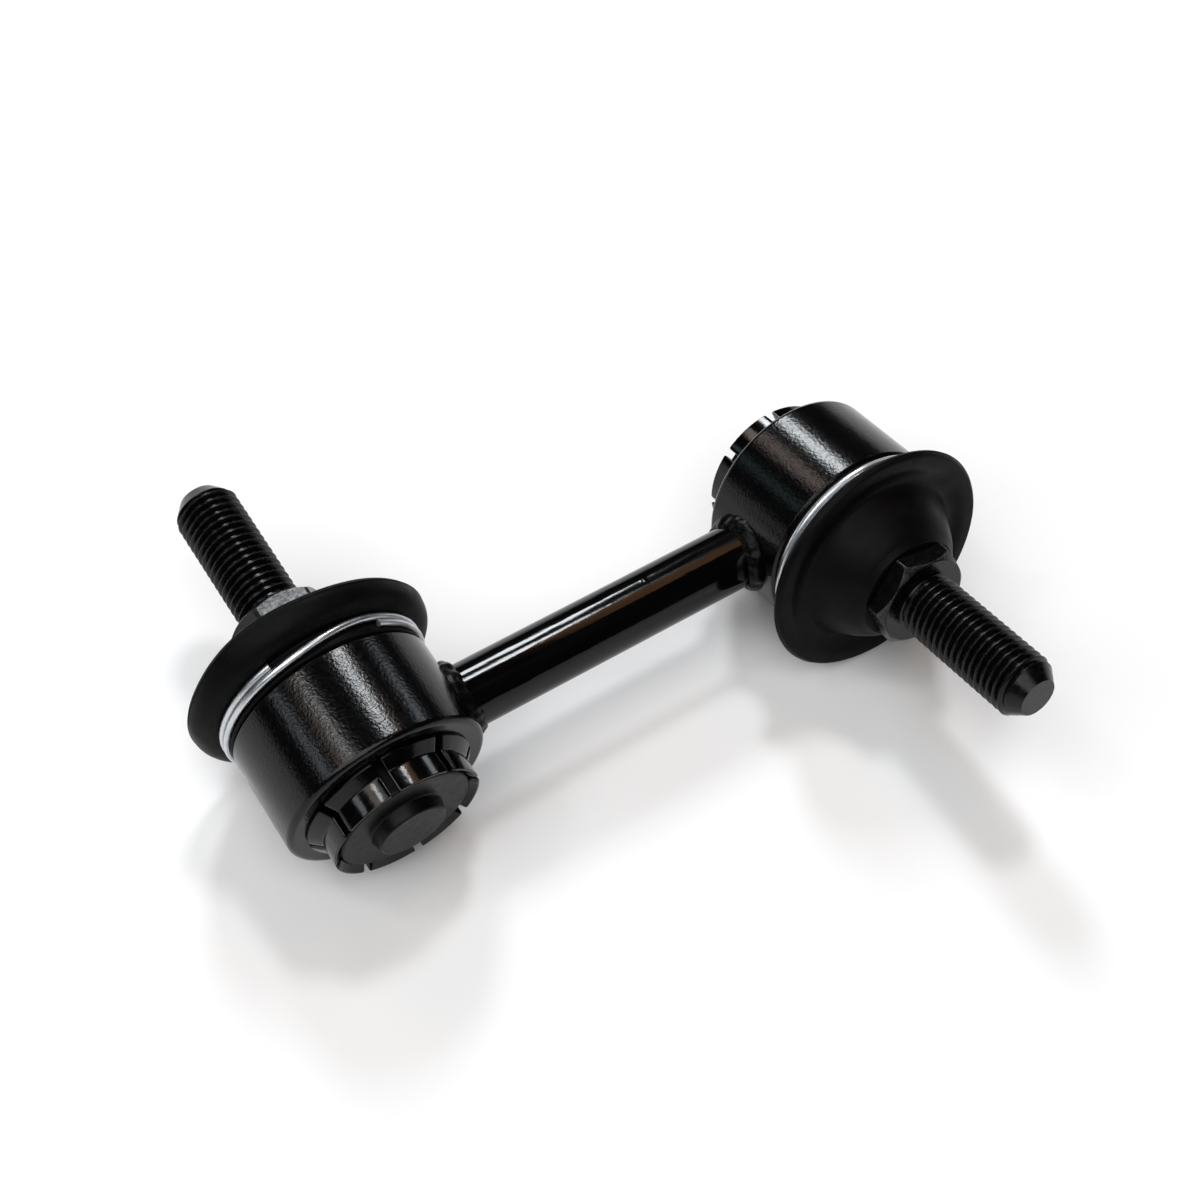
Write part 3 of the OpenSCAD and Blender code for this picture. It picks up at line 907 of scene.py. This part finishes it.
def softbox(name, azimuth, elevation, wide, high, radiance, colour=(1, 1, 1)):
    """Area light that fills wide by high degrees as the object sees it."""
    light = bpy.data.lights.new(name, "AREA")
    light.shape = "RECTANGLE"
    light.size = 2 * LIGHT_DISTANCE * math.tan(math.radians(wide) / 2)
    light.size_y = 2 * LIGHT_DISTANCE * math.tan(math.radians(high) / 2)
    light.energy = radiance * math.pi * light.size * light.size_y
    light.color = colour
    lamp = bpy.data.objects.new(name, light)
    out = towards(azimuth, elevation)
    lamp.location = MIDDLE + out * LIGHT_DISTANCE
    lamp.rotation_mode = "QUATERNION"
    lamp.rotation_quaternion = out.to_track_quat("Z", "Y")
    bpy.context.scene.collection.objects.link(lamp)


def lights():
    cool = (0.93, 0.97, 1.0)
    blue = (0.86, 0.95, 1.0)
    warm = (1.0, 0.52, 0.24)
    softbox("key_low", 157, 43, 9, 11, 34, cool)
    softbox("key_high", 139, 65.5, 8, 8, 42, cool)
    softbox("warm_top", 99, 66.5, 25, 10, 1.9, warm)
    softbox("warm_back", -168, 44.5, 13, 8, 5, (1.0, 0.84, 0.77))
    softbox("warm_left", -116, 51, 8, 6, 1.2, warm)
    softbox("white_left", -119, 59, 5, 4, 19)
    softbox("cool_left", -111, 33, 7, 8, 4.8, blue)
    softbox("cool_right", 111, 35, 7, 8, 6, blue)
    softbox("cool_back_left", -141, 29, 9, 7, 1.2, (0.7, 0.95, 1.0))
    softbox("fill_front", -52, 60, 70, 45, 2.6)


def floor():
    """Pale floor. Far from the object it is plain white, so that it has no edge."""
    mesh = bpy.data.meshes.new("floor")
    signs = ((-1, -1), (1, -1), (1, 1), (-1, 1))
    mesh.from_pydata([(x * FLOOR_HALF, y * FLOOR_HALF, 0) for x, y in signs], [], [(0, 1, 2, 3)])
    made = bpy.data.objects.new("floor", mesh)
    bpy.context.scene.collection.objects.link(made)
    material = new_material("floor_white", FLOOR_COLOUR, 1.0, specular=0.0)
    tree = material.node_tree
    where = tree.nodes.new("ShaderNodeNewGeometry")
    length = tree.nodes.new("ShaderNodeVectorMath")
    length.operation = "LENGTH"
    tree.links.new(where.outputs["Position"], length.inputs[0])
    far = spread(material, length.outputs["Value"], 0, 1, FLOOR_NEAR, FLOOR_FAR)
    seen = seen_rays(tree)
    share = tree.nodes.new("ShaderNodeMath")
    share.operation = "MULTIPLY"
    tree.links.new(far, share.inputs[0])
    tree.links.new(seen, share.inputs[1])
    white = tree.nodes.new("ShaderNodeEmission")
    mix = tree.nodes.new("ShaderNodeMixShader")
    tree.links.new(share.outputs["Value"], mix.inputs["Fac"])
    tree.links.new(shader_of(material).outputs["BSDF"], mix.inputs[1])
    tree.links.new(white.outputs["Emission"], mix.inputs[2])
    tree.links.new(mix.outputs["Shader"], tree.nodes["Material Output"].inputs["Surface"])
    made.data.materials.append(material)


def seen_rays(tree):
    """1 for camera, glossy and transmission rays, so that reflections show the same background."""
    path = tree.nodes.new("ShaderNodeLightPath")
    total = path.outputs["Is Camera Ray"]
    for name in ("Is Glossy Ray", "Is Transmission Ray"):
        add = tree.nodes.new("ShaderNodeMath")
        add.use_clamp = True
        tree.links.new(total, add.inputs[0])
        tree.links.new(path.outputs[name], add.inputs[1])
        total = add.outputs["Value"]
    return total


def world():
    """Dark studio above a white horizon."""
    made = bpy.data.worlds.new("studio")
    made.use_nodes = True
    tree = made.node_tree
    place = tree.nodes.new("ShaderNodeTexCoord")
    parts = tree.nodes.new("ShaderNodeSeparateXYZ")
    ramp = tree.nodes.new("ShaderNodeValToRGB")
    low, high = ramp.color_ramp.elements
    low.position = HORIZON_TO
    low.color = HORIZON_COLOUR
    high.position = STUDIO_FROM
    high.color = STUDIO_COLOUR
    tree.links.new(place.outputs["Generated"], parts.inputs["Vector"])
    tree.links.new(parts.outputs["Z"], ramp.inputs["Fac"])
    tree.links.new(ramp.outputs["Color"], tree.nodes["Background"].inputs["Color"])
    bpy.context.scene.world = made


def camera():
    data = bpy.data.cameras.new("camera")
    data.lens = CAMERA_LENS
    data.sensor_width = 36
    made = bpy.data.objects.new("camera", data)
    back = towards(CAMERA_AZIMUTH, CAMERA_ELEVATION)
    level = Vector((0, 0, 1)).cross(back).normalized()
    rise = back.cross(level)
    roll = math.radians(CAMERA_ROLL)
    right = level * math.cos(roll) + rise * math.sin(roll)
    up = back.cross(right)
    matrix = Matrix((right, up, back)).transposed().to_4x4()
    matrix.translation = CAMERA_AIM + back * CAMERA_DISTANCE
    made.matrix_world = matrix
    data.clip_start = 0.01
    data.clip_end = 50
    bpy.context.scene.collection.objects.link(made)
    bpy.context.scene.camera = made


def build():
    housing_black = housing_paint()
    weld_black = weld_paint()
    finger_black = finger_plastic()
    plug_black = plug_plastic()
    steel = stud_steel()
    boot_rubber = rubber()
    zinc = wire_zinc()
    plain_steel = ring_steel()
    rod(rod_paint())
    for end in ("a", "b"):
        housing(end, housing_black)
        weld(end, weld_black)
        bearing(end, finger_black)
        end_plug(end, plug_black)
        ball_stud(end, steel)
        boot(end, boot_rubber)
        clip_ring(end, zinc)
        ring = frame["nodes"][f"neck_ring_{end}"]
        ring.data.materials.clear()
        ring.data.materials.append(plain_steel)
    floor()
    world()
    lights()
    camera()
    bpy.context.scene.view_settings.view_transform = "Standard"


build()
bpy.context.view_layer.update()
